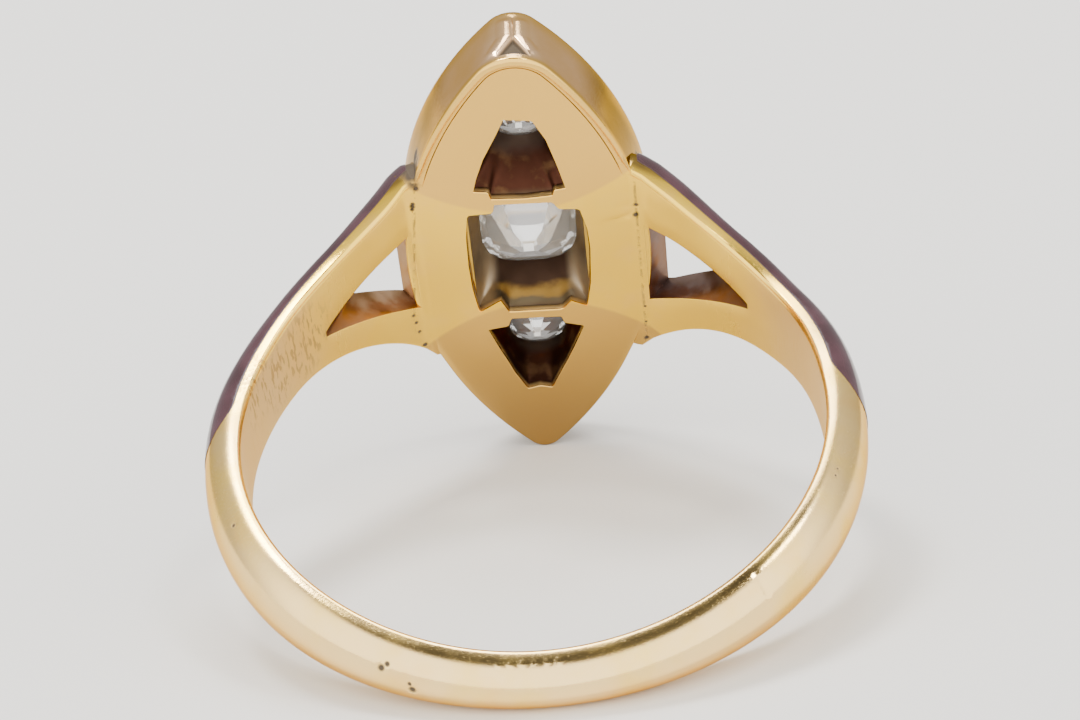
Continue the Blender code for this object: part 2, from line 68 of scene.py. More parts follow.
for name, place, width, power in LAMPS:
    data = bpy.data.lights.new(name, "AREA")
    data.shape = "SQUARE"
    data.size = width
    data.energy = power
    lamp = bpy.data.objects.new(name, data)
    bpy.context.scene.collection.objects.link(lamp)
    lamp.location = place
    aim = Vector(LAMP_AIM) - Vector(place)
    lamp.rotation_euler = aim.to_track_quat("-Z", "Y").to_euler()


def node(tree, kind, settings=(), give=0, **inputs):
    """Adds a shader node, whose inputs are values or other nodes' outputs, and gives one output."""
    made = tree.nodes.new("ShaderNode" + kind)
    for key, value in settings:
        setattr(made, key, value)
    for key, value in inputs.items():
        socket = made.inputs[int(key[1:])] if key[1:].isdigit() else made.inputs[key]
        if isinstance(value, bpy.types.NodeSocket):
            tree.links.new(value, socket)
        else:
            socket.default_value = value
    return made.outputs[give]


def maths(tree, operation, a, b=0.0):
    return node(tree, "Math", [("operation", operation)], i0=a, i1=b)


def plus(tree, a, b):
    return maths(tree, "ADD", a, b)


def times(tree, a, b):
    return maths(tree, "MULTIPLY", a, b)


def span(tree, value, start, end, low=0.0, high=1.0):
    """Runs smoothly from low to high while the value runs from start to end."""
    return node(tree, "MapRange", [("interpolation_type", "SMOOTHSTEP")],
                i0=value, i1=start, i2=end, i3=low, i4=high)


tent = bpy.data.worlds.new("tent")
bpy.context.scene.world = tent
tent.use_nodes = True
tree = tent.node_tree
toward = node(tree, "SeparateXYZ", i0=node(tree, "TexCoord", give="Generated")).node.outputs
off_x = maths(tree, "SUBTRACT", toward[0], OPENING_X)
off_y = maths(tree, "SUBTRACT", toward[1], OPENING_Y)
from_top = plus(tree, maths(tree, "POWER", off_x, 2.0), maths(tree, "POWER", off_y, 2.0))
opening = span(tree, maths(tree, "SQRT", from_top), *OPENING_RIM, OPENING_LIGHT, 1.0)
below = span(tree, toward[2], -0.1, 0.1, 1.0, 0.0)
opening = maths(tree, "MAXIMUM", opening, below)
cloth = node(tree, "ValToRGB", Fac=span(tree, toward[1], -1.0, 1.0)).node
bands = cloth.color_ramp.elements
for place, light in CLOTH_BANDS:
    band = bands.new(place) if 0.0 < place < 1.0 else bands[-int(place)]
    band.color = (light, light, light, 1.0)
tent_light = tree.nodes["Background"]
tree.links.new(cloth.outputs[0], tent_light.inputs["Color"])
tree.links.new(times(tree, opening, TENT_LIGHT), tent_light.inputs["Strength"])

bm = bmesh.new()
bmesh.ops.create_grid(bm, x_segments=1, y_segments=1, size=TABLE_HALF)
mesh = bpy.data.meshes.new("table_top")
bm.to_mesh(mesh)
bm.free()
table_top = bpy.data.objects.new("table_top", mesh)
bpy.context.scene.collection.objects.link(table_top)
paper = bpy.data.materials.new("pale_paper")
paper.use_nodes = True
shader = paper.node_tree.nodes["Principled BSDF"]
shader.inputs["Base Color"].default_value = TABLE_COLOUR
shader.inputs["Roughness"].default_value = TABLE_ROUGHNESS
mesh.materials.append(paper)

# Band and split shoulders. One strip of gold, half round outside and flat inside, bent round and
# soldered to the sides of the head. Near the head it is pierced, so each shoulder has two arms.

TILT = radians(23.2688)          # the finger's axis leans back by this as the ring lies
REST = (0.0, -0.0020022, 0.0042833)
LAY = Matrix.Translation(REST) @ Matrix.Rotation(TILT, 4, "X") @ Matrix.Scale(0.001, 4)

# sizes are in millimetres from here on, and places along the band in degrees from the palm
HOLE, BACK = 8.5, 8.1            # the finger hole's radius and the depth of the head's back plate
SHOULDERS, ARM_ENDS = (95.0, 158.0), 168.0     # where they start and are soldered, and their ends
SHOULDER_RADIUS = hypot(8.0, 3.8)              # inside, where they meet the head
FLUSH_FROM, FLUSH_STEP = 150.0, 0.012          # there they end flush with the plate
BURIED, BURIED_AT = 0.3, (157.6, 163.0)        # and then run down into the head
HALF_WIDTH, CHEEK_GAIN, CHEEK = 0.82, 0.48, 71.0        # at the palm, and gained at the sides
FLARE, FLARE_POWER = 2.4, 10                   # gained at the head
DROP, DROP_AT, ASKEW = 0.16, (95.0, 130.0), 0.04016     # shoulders' middle, lower on the right
SKEW, SKEW_AT, SKEW_GONE, SKEW_FADE = 0.13, (95.0, 120.0), 160.0, 10.0
THICKNESS, SLIMMING, FILLET, WAIST = 1.2, 0.22, 0.36, 138.0
UPRIGHT, UPRIGHT_LOSS, UPRIGHT_AT = 0.18, 0.04, (50.0, 100.0)
EDGE, FILED, FILED_AT = 0.13, 0.08, (80.0, 112.0)
FULLER_AT = (70.0, 110.0)                      # the dome's sides stand up more on the shoulders
VALLEY, SPLIT_AT = 0.2, (121.0, 137.0)         # a valley leads to the window
APEX, FOOT, OUTER_FOOT = 132.0, 156.0, 154.8   # the window's point, and its foot inside and outside
LEAN, LEAN_FROM, LEAN_TO = 11.4, 104.0, 164.0  # its point is nearer the head on the outer face
WINDOW_LENGTH, WINDOW_FADE = 3.4, 80.0
APEX_DROP, FOOT_RISE = 0.4, 0.19
APEX_SKEW, FOOT_SKEW = 0.09, 0.11
APEX_HALF, FOOT_GAIN = 0.1, 1.44
WINDOW_EDGE = 0.03

BAND_STEPS, SPIN_RADIUS = 336, 10.0
ARM_STEPS, WINDOW_STEPS, CROWDING = 10, 4, 2.4
OUT_LANES = [2.0 - (i / ARM_STEPS) ** CROWDING for i in range(ARM_STEPS + 1)] + [0.5, 0.0, -0.5]
OUT_LANES += [-q for q in reversed(OUT_LANES[:ARM_STEPS + 1])]
ARM_LANES = (1.55 / 0.9, 1.3 / 0.9)
IN_LANES = [-q for q in ARM_LANES] + [-1.0, -0.5, 0.0, 0.5, 1.0] + list(reversed(ARM_LANES))
CORNER = [(1.0 - cos(radians(a)), 1.0 - sin(radians(a))) for a in (90, 72, 54, 36, 18, 0)]
LANES = [("dome", q) for q in OUT_LANES] + [("low", i) for i in range(len(CORNER))]
LANES += [("flat", q) for q in IN_LANES] + [("high", i) for i in reversed(range(len(CORNER)))]


def ease(share):
    """A share of the way, with a slow start and a slow end."""
    share = min(max(share, 0.0), 1.0)
    return share * share * (3.0 - 2.0 * share)


def between(value, start, end):
    """The share of the way from start to end that a value has gone."""
    return (value - start) / (end - start)


def half_width(turn):
    """Half the band's width at a turn from the palm."""
    palm = HALF_WIDTH + CHEEK_GAIN * ease(turn / CHEEK)
    return palm + FLARE * min(turn / SHOULDERS[1], 1.0) ** FLARE_POWER


def middle(turn, side):
    """Height of the shoulder's middle, which is askew from the left to the right."""
    askew = HOLE * side * sin(radians(turn)) * ASKEW
    return -(DROP + askew) * ease(between(turn, *DROP_AT))


def inner_radius(turn):
    """The finger hole widens at the shoulders, whose inner faces end flush with the plate."""
    bent = HOLE + (SHOULDER_RADIUS - HOLE) * ease(between(turn, *SHOULDERS))
    if turn < FLUSH_FROM:
        return bent
    flush = BACK - FLUSH_STEP + BURIED * ease(between(turn, *BURIED_AT))
    return min(bent, -flush / cos(radians(turn)))


def edge_corner(turn, i, high):
    """Rounded inner edges; the upper one is filed back further on the shoulders."""
    filed = FILED * ease(between(turn, *FILED_AT)) if high else 0.0
    return EDGE * CORNER[i][0], (EDGE + filed) * CORNER[i][1]


def upright(turn):
    """Thickness of the band at its edges, under the dome."""
    return UPRIGHT - UPRIGHT_LOSS * ease(between(turn, *UPRIGHT_AT))


def wall(turn):
    """Thickness of the band at the top of its dome, slimmer at the waist and fuller at the head."""
    slim = THICKNESS - SLIMMING * ease(between(turn, SHOULDERS[0], WAIST))
    return slim + FILLET * ease(between(turn, WAIST, SHOULDERS[1]))


def window_edges(turn, row, side, margin):
    """The window's lower and upper edge as shares of the half width, at a row from its point."""
    way = between(row, APEX, FOOT)
    way = min(max(way, -margin / WINDOW_LENGTH), 1.0 + margin / WINDOW_LENGTH)
    drop = APEX_DROP - FOOT_RISE * way + side * (APEX_SKEW + FOOT_SKEW * way)
    centre = (-drop - middle(turn, side)) * ease(between(row, WINDOW_FADE, APEX))
    reach = APEX_HALF + FOOT_GAIN * way + margin
    return (centre - reach) / half_width(turn), (centre + reach) / half_width(turn)


def outer_turn(row, q):
    """Rows lean towards the head on the outer face, most at the window."""
    if row < APEX:
        lean = LEAN * ease(between(row, LEAN_FROM, APEX))
    elif row < FOOT:
        lean = LEAN + (OUTER_FOOT - FOOT - LEAN) * between(row, APEX, FOOT)
    else:
        lean = (OUTER_FOOT - FOOT) * (1.0 - ease(between(row, FOOT, LEAN_TO)))
    return row + lean * min(2.0 - abs(q), 1.0)


def lane_share(q, low, high, reach):
    """Across the band: 2 and -2 are its edges, 1 and -1 the window's."""
    low, high = max(low, -0.5 * reach), min(high, 0.5 * reach)
    if q > 1.0:
        return high + (reach - high) * (q - 1.0)
    if q < -1.0:
        return low + (-reach - low) * (-q - 1.0)
    return (low + high) / 2.0 + (high - low) / 2.0 * q


def outer_radius(turn, row, side, share):
    """The rounded outer face, with one dome on the band and one on each arm."""
    full = 2.0 + ease(between(turn, *FULLER_AT))
    one = max(1.0 - abs(share) ** full, 0.0) ** (1.0 / full)
    low, high = window_edges(turn, row, side, 0.0)
    upper = share > 0.5 * (low + high)
    way = between(share, high, 1.0) if upper else between(share, low, -1.0)
    off = 2.0 * max(way, 0.0) - 1.0
    two = 1.0 - VALLEY * off * off if off < 0.0 else max(1.0 - off**3, 0.0) ** (1.0 / 3.0)
    height = one + (two - one) * ease(between(turn, *SPLIT_AT))
    return inner_radius(turn) + upright(turn) + (wall(turn) - upright(turn)) * height


def at(radius, turn, side, height):
    """A place on the upright ring, whose shoulders stand a little to the right."""
    a = radians(turn)
    skew = SKEW * ease(between(turn, *SKEW_AT)) * ease((SKEW_GONE - turn) / SKEW_FADE)
    return Vector((side * radius * sin(a) + skew, -radius * cos(a), height + middle(turn, side)))


def shank_spot(row, side, lane):
    """A place on the dome, on the flat inside or on a rounded edge between them."""
    kind, q = lane
    if kind == "dome":
        turn = outer_turn(row, q)
        share = lane_share(q, *window_edges(turn, row, side, 0.0), 1.0)
        return at(outer_radius(turn, row, side, share), turn, side, share * half_width(turn))
    half = half_width(row)
    if kind == "flat":
        edge = 1.0 - edge_corner(row, len(CORNER) - 1, q > 0.0)[1] / half
        share = lane_share(q, *window_edges(row, row, side, 0.0), edge)
        return at(inner_radius(row), row, side, share * half)
    level, inset = edge_corner(row, q, kind == "high")
    height = half - inset
    return at(inner_radius(row) + level, row, side, height if kind == "high" else -height)


PIT_REACH, FINER_REACH, FINER_CUTS = 1.2, 1.3, 3        # the reaches as shares of a pit's size


def press_pit(bm, spot, size, depth, way):
    """Presses a small pit into the metal, on a mesh made finer round it first."""
    spot = Vector(spot)
    reach = size * FINER_REACH
    near = [e for e in bm.edges if min((v.co - spot).length for v in e.verts) < reach]
    bmesh.ops.subdivide_edges(bm, edges=near, cuts=FINER_CUTS, use_grid_fill=True)
    for v in bm.verts:
        off = (v.co - spot).length / (size * PIT_REACH)
        if off < 1.0:
            v.co += Vector(way) * depth * (1.0 - off * off) ** 2


def make_piece(name, bm, finishes, sharp=32.0):
    """Lays a finished mesh down with the ring and fixes it to the ring's body."""
    bmesh.ops.transform(bm, matrix=LAY, verts=bm.verts)
    mesh = bpy.data.meshes.new(name)
    bm.to_mesh(mesh)
    bm.free()
    mesh.shade_smooth()
    mesh.set_sharp_from_angle(angle=radians(sharp))
    for finish in finishes:
        mesh.materials.append(finish)
    piece = bpy.data.objects.new(name, mesh)
    bpy.context.scene.collection.objects.link(piece)
    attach(piece, "root")
    return piece


def new_finish(name):
    finish = bpy.data.materials.new(name)
    finish.use_nodes = True
    return finish, finish.node_tree, finish.node_tree.nodes["Principled BSDF"]


def mix_tint(tree, share, a, b):
    return node(tree, "Mix", [("data_type", "RGBA")], give=2, i0=share, i6=a, i7=b)


def ring_place(tree):
    """The place on the upright ring in millimetres, with the finger's axis along Z."""
    return node(tree, "Mapping", [("vector_type", "TEXTURE")],
                i0=node(tree, "TexCoord", give="Object"),
                i1=REST, i2=(TILT, 0.0, 0.0), i3=(0.001, 0.001, 0.001))


def split(tree, place):
    return node(tree, "SeparateXYZ", i0=place).node.outputs[:3]


def noise(tree, place, scale, detail=3.0, stretch=(1.0, 1.0, 1.0), turn=(0.0, 0.0, 0.0)):
    if stretch != (1.0, 1.0, 1.0) or turn != (0.0, 0.0, 0.0):
        place = node(tree, "Mapping", i0=place, i2=turn, i3=stretch)
    return node(tree, "TexNoise", i0=place, i2=scale, i3=detail)


def near_spots(tree, place, spots):
    """One close to any of the spots, and nothing away from them."""
    total = 0.0
    for spot, size in spots:
        off = node(tree, "VectorMath", [("operation", "DISTANCE")], give="Value", i0=place, i1=spot)
        near = span(tree, off, 0.45 * size, 1.1 * size, 1.0, 0.0)
        total = maths(tree, "MAXIMUM", near, total)
    return total


# pits and stains: place on the upright ring, and size
BAND_PITS = [((-4.37, -8.50, 0.49), 0.13), ((-4.19, -8.49, 0.62), 0.1),
             ((-3.56, -9.02, 0.08), 0.14), ((-3.60, -8.92, 0.25), 0.09),
             ((-8.59, -3.34, 1.13), 0.1), ((8.60, -2.95, 1.21), 0.06), ((8.52, -3.20, 1.20), 0.06)]
JOINT_PITS = [((-3.20, 8.10, 3.34), 0.12), ((-3.36, 8.09, 2.74), 0.09),
              ((-3.38, 8.09, 2.64), 0.11), ((-3.40, 8.09, 2.53), 0.09),
              ((-3.85, 7.98, -1.74), 0.11), ((-3.79, 8.00, -2.08), 0.1),
              ((-3.74, 8.03, -2.50), 0.1), ((-3.62, 8.08, -3.14), 0.12),
              ((3.45, 8.09, 2.02), 0.1), ((3.42, 8.09, 1.62), 0.12),
              ((3.48, 8.09, -2.23), 0.06), ((3.47, 8.09, -2.89), 0.06), ((3.45, 8.09, -3.60), 0.12)]
BAND_PIT_DEPTH, JOINT_PIT_DEPTH = 0.35, 0.5      # as shares of their size
JOINT_DIRT = [((-3.40, 8.75, 3.62), 0.45), ((-3.28, 8.40, 3.66), 0.38), ((-3.16, 9.10, 3.80), 0.3)]
JOINT_FILM = [((-3.20, 8.75, 3.75), 0.5), ((-3.25, 8.25, 3.50), 0.28), ((3.62, 9.60, 2.60), 0.3)]
INSIDE_STAINS = [((-8.2, 2.4, 0.9), 1.3), ((-7.7, 3.7, 0.2), 1.3), ((-7.0, 5.0, 0.2), 1.5)]
CREASE_START, CREASE_END, CREASE_PITS = (5.98, -6.58, 1.08), (6.33, -7.08, 0.77), 5
CREASE_SIZE, CREASE_DEPTH, CREASE_WAY = 0.15, 0.028, (-0.67, 0.74, 0.0)
BUMPS, BUMP_PITCH, BUMP_START, BUMP_WAY = 6, 0.33, (-1.15, -8.98, 0.78), (0.0, -0.6, 0.8)
BUMP_SIZE, BUMP_GAIN, BUMP_HEIGHT = 0.1, 0.02, 0.012

PALE_GOLD, RICH_GOLD = (0.95, 0.66, 0.26, 1.0), (0.955, 0.605, 0.055, 1.0)
YELLOW_CLOUD, ROSY_CLOUD = (0.93, 0.62, 0.09, 1.0), (0.93, 0.55, 0.14, 1.0)
DULL_INSIDE, SCRATCH_BROWN = (0.78, 0.585, 0.34, 1.0), (0.44, 0.28, 0.11, 1.0)
END_SHEET_AND_SHADE, LOWER_SHADE = (0.77, 0.46, 0.10, 1.0), (0.31, 0.185, 0.065, 1.0)
LOW_WALL_PAINTED_SHADE, UPPER_TIP_PAINTED_SHADE = (0.18, 0.115, 0.055, 1.0), (0.86, 0.57, 0.34, 1.0)
DIRT_AND_PIT_SHADE, GLANCING_GOLD = (0.06, 0.045, 0.032, 1.0), (0.80, 0.60, 0.34, 1.0)
HEAD_RISE, HEAD_SLOPE = 0.19, 0.0175     # the head's middle, above the band's, and its lean
SHEET_BOW, SHEET_EDGE = 0.115, (1.82, 1.98)
LEFT_LINE, LEFT_LEAN, RIGHT_LINE, LINE_EDGE = 3.6, 0.11, 3.45, (0.015, 0.06)
BUMP_STRENGTH, BUMP_DISTANCE = 0.5, 0.000007

gold, tree, shader = new_finish("worn_gold")
place = ring_place(tree)
x, y, z = split(tree, place)
across = maths(tree, "ABSOLUTE", x)
cloudy = noise(tree, place, 0.55, 4.0)
fine = noise(tree, place, 4.0, 5.0)
# the band is paler and the head and shoulders richer, where the gold kept its colour
rich = span(tree, plus(tree, y, times(tree, cloudy, 5.0)), 0.5, 11.0)
tint = mix_tint(tree, rich, PALE_GOLD, RICH_GOLD)
tint = mix_tint(tree, span(tree, cloudy, 0.42, 0.68, 0.0, 0.5), tint, YELLOW_CLOUD)
rosy = span(tree, noise(tree, place, 0.9, 3.0), 0.5, 0.75, 0.0, 0.35)
tint = mix_tint(tree, rosy, tint, ROSY_CLOUD)
# the inside of the band is duller and paler, with brown patches and fine scratches on the left
inside = node(tree, "Attribute", [("attribute_name", "inside")], give="Fac")
dull = times(tree, inside, span(tree, y, 3.0, 6.5, 0.65, 0.0))
tint = mix_tint(tree, dull, tint, DULL_INSIDE)
scored = noise(tree, place, 1.0, 3.0, (8.0, 8.0, 2.2), (0.0, 0.2, 0.0))
patches = near_spots(tree, place, INSIDE_STAINS)
stain = times(tree, patches, span(tree, scored, 0.51, 0.6, 0.0, 0.7))
tint = mix_tint(tree, stain, tint, SCRATCH_BROWN)
# the two ends of the head's plate are of a pinker sheet, each soldered in on a curved edge; they
# are also darkened as painted shade for a tilt that the flat plate lacks
height = maths(tree, "SUBTRACT", z, times(tree, x, HEAD_SLOPE))
height = maths(tree, "SUBTRACT", height, HEAD_RISE)
bow = times(tree, times(tree, x, x), SHEET_BOW)
past = maths(tree, "SUBTRACT", maths(tree, "ABSOLUTE", height), bow)
on_head = span(tree, y, 7.9, 8.0)
ends = times(tree, span(tree, past, *SHEET_EDGE), on_head)
tint = mix_tint(tree, times(tree, ends, 0.9), tint, END_SHEET_AND_SHADE)
# painted shade: the lower end sheet is darkened much further, most towards its tip
lower = times(tree, ends, span(tree, height, -8.0, -1.5, 1.0, 0.15))
lower = times(tree, lower, span(tree, height, -1.0, 0.0, 1.0, 0.0))
tint = mix_tint(tree, times(tree, lower, 0.85), tint, LOWER_SHADE)
# painted shade on the head's walls: dark brown low down, a paler tan towards the upper tip, weakest
# at the front rim
wall_shade = times(tree, span(tree, y, 8.2, 8.5), span(tree, y, 9.9, 10.75, 1.0, 0.25))
wall_shade = times(tree, wall_shade, span(tree, across, 4.4, 4.8, 1.0, 0.0))
wall_shade = times(tree, wall_shade, span(tree, cloudy, 0.3, 0.7, 0.7, 1.0))
brown = mix_tint(tree, span(tree, z, 4.7, 6.5), LOW_WALL_PAINTED_SHADE, UPPER_TIP_PAINTED_SHADE)
tint = mix_tint(tree, wall_shade, tint, brown)
# solder lines where the shoulders join the plate, and dirt in them, in the pits and the seam; the
# pinch at the upper tip is darkened the same way as painted shade
left = maths(tree, "SUBTRACT", plus(tree, x, LEFT_LINE), times(tree, height, LEFT_LEAN))
right = maths(tree, "SUBTRACT", x, RIGHT_LINE)
line = maths(tree, "MINIMUM", maths(tree, "ABSOLUTE", left), maths(tree, "ABSOLUTE", right))
line = span(tree, line, *LINE_EDGE, 1.0, 0.0)
line = times(tree, line, span(tree, fine, 0.42, 0.6))
line = times(tree, line, times(tree, on_head, span(tree, y, 8.2, 8.4, 1.0, 0.0)))
spots = near_spots(tree, place, BAND_PITS + JOINT_PITS + JOINT_DIRT)
seam_grime_and_pit_shade = node(tree, "Attribute", [("attribute_name", "seam_grime_and_pit_shade")], give="Fac")
spots = maths(tree, "MAXIMUM", spots, seam_grime_and_pit_shade)
patch = times(tree, near_spots(tree, place, JOINT_FILM), span(tree, fine, 0.4, 0.62))
spots = maths(tree, "MAXIMUM", spots, patch)
dirt_and_pit_shade = maths(tree, "MAXIMUM", times(tree, line, 0.6), spots)
tint = mix_tint(tree, dirt_and_pit_shade, tint, DIRT_AND_PIT_SHADE)
tree.links.new(tint, shader.inputs["Base Color"])
tree.links.new(maths(tree, "SUBTRACT", 1.0, dirt_and_pit_shade), shader.inputs["Metallic"])
shader.inputs["Specular Tint"].default_value = GLANCING_GOLD
# the polish is worn by fine scratches, more at the sides of the band and inside it
scratches = noise(tree, place, 1.0, 4.0, (16.0, 16.0, 1.1), (0.0, 0.35, 0.2))
worn = times(tree, inside, span(tree, y, 5.0, 8.0, 0.2, 0.0))
worn = plus(tree, worn, span(tree, cloudy, 0.3, 0.7, 0.11, 0.18))
worn = plus(tree, worn, span(tree, across, 5.5, 8.0, 0.0, 0.06))
worn = plus(tree, worn, span(tree, scratches, 0.55, 0.75, 0.0, 0.1))
tree.links.new(plus(tree, worn, times(tree, dirt_and_pit_shade, 0.5)), shader.inputs["Roughness"])
relief = plus(tree, times(tree, scratches, 0.5), times(tree, fine, 0.5))
relief = plus(tree, relief, times(tree, stain, -1.5))
bumps = node(tree, "Bump", Strength=BUMP_STRENGTH, Distance=BUMP_DISTANCE, Height=relief)
tree.links.new(bumps, shader.inputs["Normal"])

LEFT_DEEP, RIGHT_DEEP = (0.33, 0.175, 0.09, 1.0), (0.20, 0.11, 0.075, 1.0)
LEFT_OPEN, RIGHT_OPEN = (0.42, 0.29, 0.19, 1.0), (0.22, 0.17, 0.16, 1.0)
CORNER_BROWN, GLANCING_BROWN = (0.13, 0.07, 0.035, 1.0), (0.60, 0.42, 0.28, 1.0)

# the window walls are coloured dark brown, darker on the inside and towards the window's point,
# more orange on the left than on the right
dull_gold, tree, shader = new_finish("brown_window_walls")
place = ring_place(tree)
x, y, _ = split(tree, place)
blotch = noise(tree, place, 1.6, 4.0)
out = maths(tree, "SQRT", plus(tree, times(tree, x, x), times(tree, y, y)))
out = plus(tree, out, span(tree, blotch, 0.3, 0.7, -0.25, 0.25))
right = span(tree, x, -0.5, 0.5)
deep = mix_tint(tree, right, LEFT_DEEP, RIGHT_DEEP)
open_side = mix_tint(tree, right, LEFT_OPEN, RIGHT_OPEN)
tint = mix_tint(tree, span(tree, out, 9.0, 9.5), deep, open_side)
corner = span(tree, maths(tree, "ABSOLUTE", x), 5.2, 6.4, 0.0, 0.75)
tint = mix_tint(tree, corner, tint, CORNER_BROWN)
tree.links.new(tint, shader.inputs["Base Color"])
shader.inputs["Metallic"].default_value = 1.0
shader.inputs["Specular Tint"].default_value = GLANCING_BROWN
tree.links.new(span(tree, blotch, 0.3, 0.7, 0.28, 0.5), shader.inputs["Roughness"])

bm = bmesh.new()
lane_turn = 2.0 * pi / len(LANES)
start = Matrix.Rotation(radians(-ARM_ENDS), 4, "Z")
start = start @ Matrix.Translation((0.0, -SPIN_RADIUS, 0.0)) @ Matrix.Rotation(pi / 2.0, 4, "Y")
bmesh.ops.create_circle(bm, segments=len(LANES), radius=1.0, matrix=start)
bmesh.ops.spin(bm, geom=bm.verts[:] + bm.edges[:], cent=(0, 0, 0), axis=(0, 0, 1),
               dvec=(0, 0, 0), angle=radians(2.0 * ARM_ENDS), steps=BAND_STEPS)


def torus_place(co):
    """Row in degrees from the palm, minus on the left, and lane of a point on the spun tube."""
    row = atan2(co.x, -co.y)
    lane = atan2(co.z, hypot(co.x, co.y) - SPIN_RADIUS) / lane_turn
    return row * 180.0 / pi, lane % len(LANES)


first_out, last_out = ARM_STEPS, ARM_STEPS + WINDOW_STEPS
first_in = len(OUT_LANES) + len(CORNER) + len(ARM_LANES)
last_in = first_in + WINDOW_STEPS
pierced = []
for face in bm.faces:
    row, lane = torus_place(face.calc_center_median())
    at_window = first_out < lane < last_out or first_in < lane < last_in
    if APEX < abs(row) < FOOT and at_window:
        pierced.append(face)
bmesh.ops.delete(bm, geom=pierced, context="FACES")
rims = []
for side in (-1.0, 1.0):
    rim = [e for e in bm.edges if e.is_boundary and e.verts[0].co.x * side > 0.0
           and abs(torus_place(e.verts[0].co)[0]) < ARM_ENDS - 2.0]
    rims += rim
    for face in bmesh.ops.bridge_loops(bm, edges=rim)["faces"]:
        face.material_index = 1
ends = [e for e in bm.edges if e.is_boundary]
bmesh.ops.holes_fill(bm, edges=ends, sides=len(LANES))
inside = bm.verts.layers.float.new("inside")
for vertex in bm.verts:
    row, lane = torus_place(vertex.co)
    side = -1.0 if row < 0.0 else 1.0
    kind, q = LANES[round(lane) % len(LANES)]
    vertex[inside] = float(kind == "flat" or q == len(CORNER) - 1)
    vertex.co = shank_spot(abs(row), side, (kind, q))
bmesh.ops.recalc_face_normals(bm, faces=bm.faces)
bmesh.ops.bevel(bm, geom=rims, offset=WINDOW_EDGE, segments=2, profile=0.5, affect="EDGES",
                material=-1)
for spot, size in BAND_PITS:
    inward = -Vector((spot[0], spot[1], 0.0)).normalized()
    press_pit(bm, spot, size, BAND_PIT_DEPTH * size, inward)
for spot, size in JOINT_PITS:
    press_pit(bm, spot, size, JOINT_PIT_DEPTH * size, (0.0, 1.0, 0.0))
# a short crease at the right of the palm side, and a row of small bumps on its upper edge
for i in range(CREASE_PITS):
    spot = Vector(CREASE_START).lerp(Vector(CREASE_END), i / (CREASE_PITS - 1.0))
    press_pit(bm, spot, CREASE_SIZE, CREASE_DEPTH, CREASE_WAY)
for i in range(BUMPS):
    spot = (BUMP_PITCH * i + BUMP_START[0], BUMP_START[1], BUMP_START[2])
    press_pit(bm, spot, BUMP_SIZE + BUMP_GAIN * (i % 3), BUMP_HEIGHT, BUMP_WAY)
shank = make_piece("shank", bm, (gold, dull_gold))
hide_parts("gold_mount")

# Head. A pointed-oval box of sheet gold with a flat back plate soldered inside its walls. The
# plate is pierced under each stone, and each stone sits in a collet that stands on the floor of
# the front.

HEAD_TURN = radians(1.0)
HEAD = LAY @ Matrix.Translation((0.0, 0.0, HEAD_RISE)) @ Matrix.Rotation(HEAD_TURN, 4, "Y")
FRONT = 10.7                                   # depth of the front rim
BACK_SHAPE = (7.6, 7.78, 1.45, 8.38, 0.6)      # width, upper length and tip, lower length and tip
FRONT_SHAPE = (7.8, 7.64, 1.0, 8.24, 0.6)
SHAPE_DEPTHS = (8.2, 10.6)
SIDE_PART, TIP_PART = 0.8, 0.2                 # of the steps of a quarter
LEAST_TIP = 0.05
HEAD_STEPS, NET_START, NET_LEAST = 160, 100.0, 90.0


def oval(depth, upper):
    """Radius of the tip, its place along and across, and the bend of the sides."""
    share = min(max(between(depth, *SHAPE_DEPTHS), 0.0), 1.0)
    shape = (b + (f - b) * share for b, f in zip(BACK_SHAPE, FRONT_SHAPE))
    width, up, up_tip, low, low_tip = shape
    length, tip = (up, up_tip) if upper else (low, low_tip)
    core_length, core_width = length - tip, width / 2.0 - tip
    return tip, core_length, core_width, (core_length**2 + core_width**2) / (2.0 * core_width)


def head_edge(step, depth, inset):
    """A point of the pointed oval, counted round from its right side by way of the upper tip."""
    quarter, part = divmod(step / (HEAD_STEPS / 4.0), 1.0)
    quarter = int(quarter) % 4
    tip, core_length, core_width, bend = oval(depth, quarter < 2)
    if quarter % 2:
        part = 1.0 - part
    sweep = asin(core_length / bend)
    if part < SIDE_PART:
        a = sweep * part / SIDE_PART
        radius = bend + tip - inset
        x, z = radius * cos(a) - (bend - core_width), radius * sin(a)
    else:
        a = sweep + (pi / 2.0 - sweep) * (part - SIDE_PART) / TIP_PART
        end = max(tip - inset, LEAST_TIP)
        x, z = end * cos(a), core_length + end * sin(a)
    return Vector((x if quarter in (0, 3) else -x, depth, z if quarter < 2 else -z))


def head_half(height, depth):
    """Half the head's width at a height, away from its tips."""
    tip, _, core_width, bend = oval(depth, height > 0.0)
    return sqrt((bend + tip) ** 2 - height**2) - (bend - core_width)


def add_net(bm, rows, steps):
    """A flat wheel of rows and steps, well outside the ring, to be drawn into shape."""
    first = [bm.verts.new((NET_START + row, 0.0, 0.0)) for row in range(rows)]
    line = [bm.edges.new(pair) for pair in zip(first, first[1:])]
    bmesh.ops.spin(bm, geom=first + line, cent=(0, 0, 0), axis=(0, -1, 0), dvec=(0, 0, 0),
                   angle=2.0 * pi, steps=steps, use_merge=True)


def draw_net(bm, steps, place):
    """Moves each point of the wheel to its place, and gives its first and last row's edges."""
    drawn = {}
    for v in bm.verts:
        radius, turn = hypot(v.co.x, v.co.z), atan2(v.co.z, v.co.x)
        if radius > NET_LEAST:
            drawn[v] = round(radius - NET_START), round(turn * steps / (2.0 * pi)) % steps
    last = max(row for row, step in drawn.values())
    ends = [[e for e in bm.edges if all(v in drawn and drawn[v][0] == row for v in e.verts)]
            for row in (0, last)]
    for v, (row, step) in drawn.items():
        v.co = place(row, step)
    return ends


